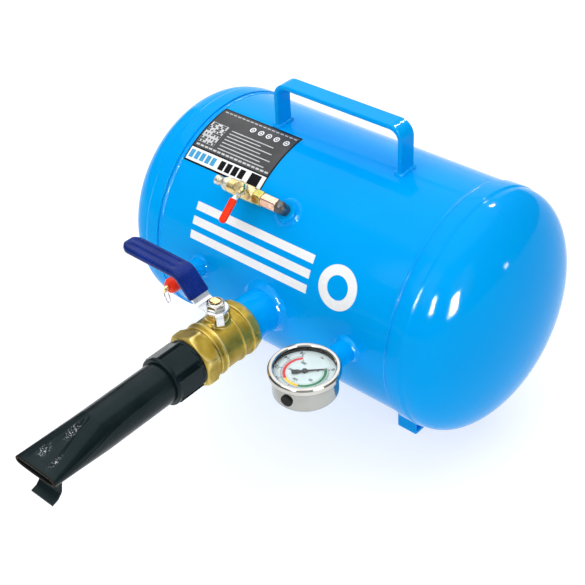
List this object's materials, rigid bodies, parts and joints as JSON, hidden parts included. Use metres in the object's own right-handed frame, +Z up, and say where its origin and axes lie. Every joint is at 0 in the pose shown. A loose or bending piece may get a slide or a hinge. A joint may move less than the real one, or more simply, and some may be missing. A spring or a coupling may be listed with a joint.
{
  "type": "bead seater blaster tank",
  "caption": "Portable air tank that seats tubeless tyre beads, with a quick ball valve and lever, flat-mouthed barrel with rim hook, gauge, relief valve and air inlet.",
  "frame": {"origin": "on the surface the feet stand on, under the middle of the outline", "axes": "+X along the tank towards the gauge's side, -Y along the barrel to its mouth, +Z up"},
  "size_m": [0.458, 0.5429, 0.326],
  "materials": {
    "tank_paint": "gloss",
    "brass": "machined",
    "copper_brass": "machined",
    "olive_brass": "passivated",
    "nickel": "polished",
    "zinc_plate": "zinc plated",
    "stainless": "polished",
    "dark_steel": "plain",
    "black_paint": "satin",
    "navy_vinyl": "dipped",
    "red_vinyl": "dipped",
    "red_paint": "gloss",
    "ptfe": "matte",
    "clear_lens": "clear",
    "dial_print": "matte",
    "black_enamel": "satin",
    "black_rubber": "matte",
    "label_film": "printed",
    "white_film": "printed"
  },
  "bodies": {
    "tank": {"tank_shell": "tank_paint", "head_left": "tank_paint", "head_right": "tank_paint", "seam_welds": "tank_paint", "carry_handle": "tank_paint", "handle_welds": "tank_paint", "foot_left": "tank_paint", "foot_right": "tank_paint", "foot_welds": "tank_paint", "outlet_neck": "tank_paint", "gauge_boss": "tank_paint", "inlet_boss": "tank_paint", "relief_boss": "tank_paint", "drain_boss": "tank_paint", "port_welds": "tank_paint", "drain_plug": "zinc_plate", "valve_body": "brass", "valve_end": "brass", "valve_seats": "ptfe", "stem_packing": "ptfe", "gland_nut": "brass", "close_nipple": "dark_steel", "barrel_socket": "black_paint", "barrel": "black_paint", "rim_hook": "black_paint", "gauge_case": "stainless", "gauge_bezel": "stainless", "gauge_lens": "clear_lens", "gauge_dial": "dial_print", "gauge_stem": "brass", "bourdon_tube": "copper_brass", "gauge_movement": "brass", "gauge_fill_plug": "black_rubber", "inlet_elbow": "dark_steel", "inlet_coupling": "copper_brass", "inlet_adapter": "olive_brass", "inlet_valve_body": "brass", "inlet_seats": "ptfe", "air_plug": "nickel", "relief_body": "brass", "relief_cap": "red_paint", "relief_spring": "dark_steel", "info_label": "label_film", "front_decal": "white_film"},
    "outlet_lever": {"valve_lever": "zinc_plate", "lever_sleeve": "navy_vinyl", "lever_nut": "nickel", "valve_stem": "brass", "valve_ball": "nickel"},
    "inlet_lever": {"inlet_lever": "zinc_plate", "inlet_lever_sleeve": "red_vinyl", "inlet_lever_nut": "brass", "inlet_stem": "brass", "inlet_ball": "nickel"},
    "gauge_needle": {"gauge_pointer": "black_enamel"},
    "relief_valve_stem": {"relief_stem": "brass"},
    "relief_pull_ring": {"relief_ring": "zinc_plate"}
  },
  "joints": [
    {"name": "outlet_lever_turn", "type": "hinge", "parent": "tank", "child": "outlet_lever", "pos_m": [0, -0.0455, 0.152], "axis": [0, 0, 1], "range_deg": [0, 90]},
    {"name": "inlet_lever_turn", "type": "hinge", "parent": "tank", "child": "inlet_lever", "pos_m": [-0.041, 0.04902, 0.25439], "axis": [0, -0.682, 0.7314], "range_deg": [0, 90]},
    {"name": "gauge_needle_turn", "type": "hinge", "parent": "tank", "child": "gauge_needle", "pos_m": [0.104, -0.0405, 0.152], "axis": [0, 0, -1], "range_deg": [0, 270], "stiffness_Nm_per_rad": 0.0002, "springref_deg": -11.46},
    {"name": "relief_lift", "type": "slide", "parent": "tank", "child": "relief_valve_stem", "axis": [0, -1, 0], "range_m": [0, 0.003], "stiffness_N_per_m": 1500, "springref_m": -0.01, "deforming": ["relief_spring"]},
    {"name": "pull_ring_swing", "type": "hinge", "parent": "relief_valve_stem", "child": "relief_pull_ring", "pos_m": [-0.088, -0.03, 0.163], "axis": [-0.9397, 0.342, 0], "range_deg": [-5, 110]}
  ]
}
